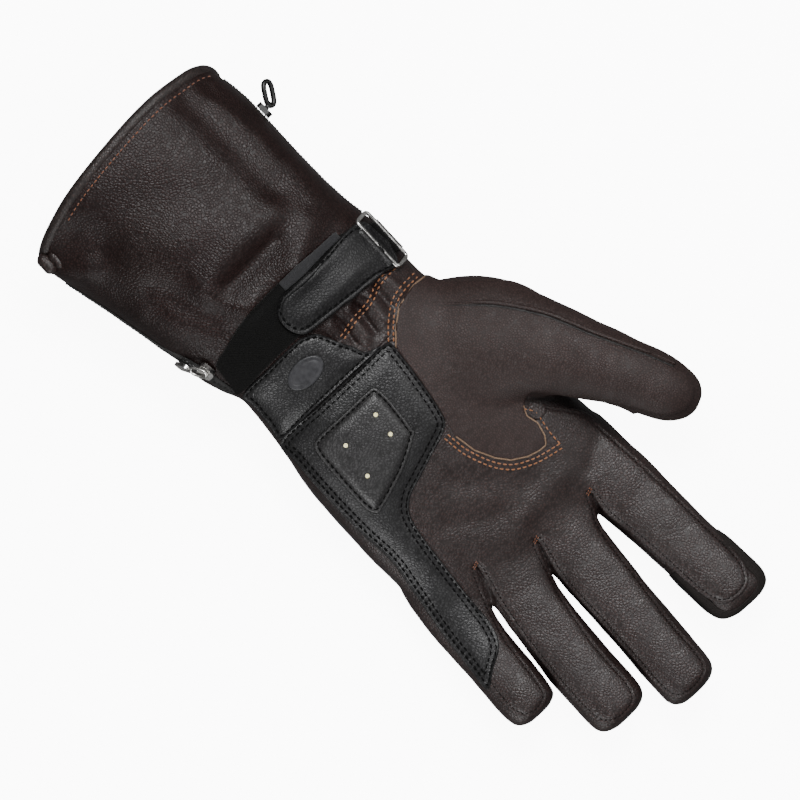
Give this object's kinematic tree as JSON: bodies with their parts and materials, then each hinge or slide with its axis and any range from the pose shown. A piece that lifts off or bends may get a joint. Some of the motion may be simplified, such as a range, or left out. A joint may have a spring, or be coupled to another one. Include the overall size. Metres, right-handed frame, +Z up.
{
  "type": "heated glove",
  "caption": "Left leather gauntlet heated glove with a padded palm patch, wrist strap through a metal ring, zipped flared cuff and bound mouth.",
  "frame": {"origin": "on the surface that the glove lies on, under the middle of its palm", "axes": "+Y to the fingertips, +X to the little finger, +Z up out of the palm"},
  "size_m": [0.1618, 0.3214, 0.0686],
  "materials": {
    "brown_leather": "dark brown grained leather, soft sheen",
    "thumb_leather": "dark brown suede-like leather, finer and more matte",
    "black_leather": "black grained leather, satin",
    "binding_leather": "dark rolled leather binding",
    "grip_fabric": "dark textured overlay",
    "loop_fabric": "black fuzzy loop fabric",
    "label_fabric": "grey woven, blank",
    "cream_rubber": "cream, matte",
    "badge_rubber": "plain grey, satin",
    "nickel": "light nickel plate",
    "black_wire": "black coated wire",
    "zip_tape": "dark zip tape with its chain"
  },
  "bodies": {
    "root": {"palm_panel": "brown_leather", "wrist_panel": "brown_leather", "back_panel": "brown_leather", "fourchette_index_middle": "brown_leather", "fourchette_middle_ring": "brown_leather", "fourchette_ring_little": "brown_leather", "thumb_front": "thumb_leather", "thumb_back": "thumb_leather", "index_tip_cap": "grip_fabric", "cuff_front": "brown_leather", "cuff_back": "brown_leather", "cuff_binding": "binding_leather", "radial_zip": "zip_tape", "ulnar_zip": "zip_tape", "palm_patch": "black_leather", "heel_patch": "black_leather", "patch_pad": "black_leather", "plain_badge": "badge_rubber", "vent_dot_1": "cream_rubber", "vent_dot_2": "cream_rubber", "vent_dot_3": "cream_rubber", "vent_dot_4": "cream_rubber", "loop_band": "loop_fabric", "strap_tab": "black_leather", "edge_label": "label_fabric", "strap_ring": "nickel", "ring_keeper": "loop_fabric", "radial_slider": "black_wire", "radial_pull": "black_wire", "ulnar_slider": "nickel", "ulnar_bail": "nickel", "ulnar_pull": "nickel"}
  },
  "joints": []
}
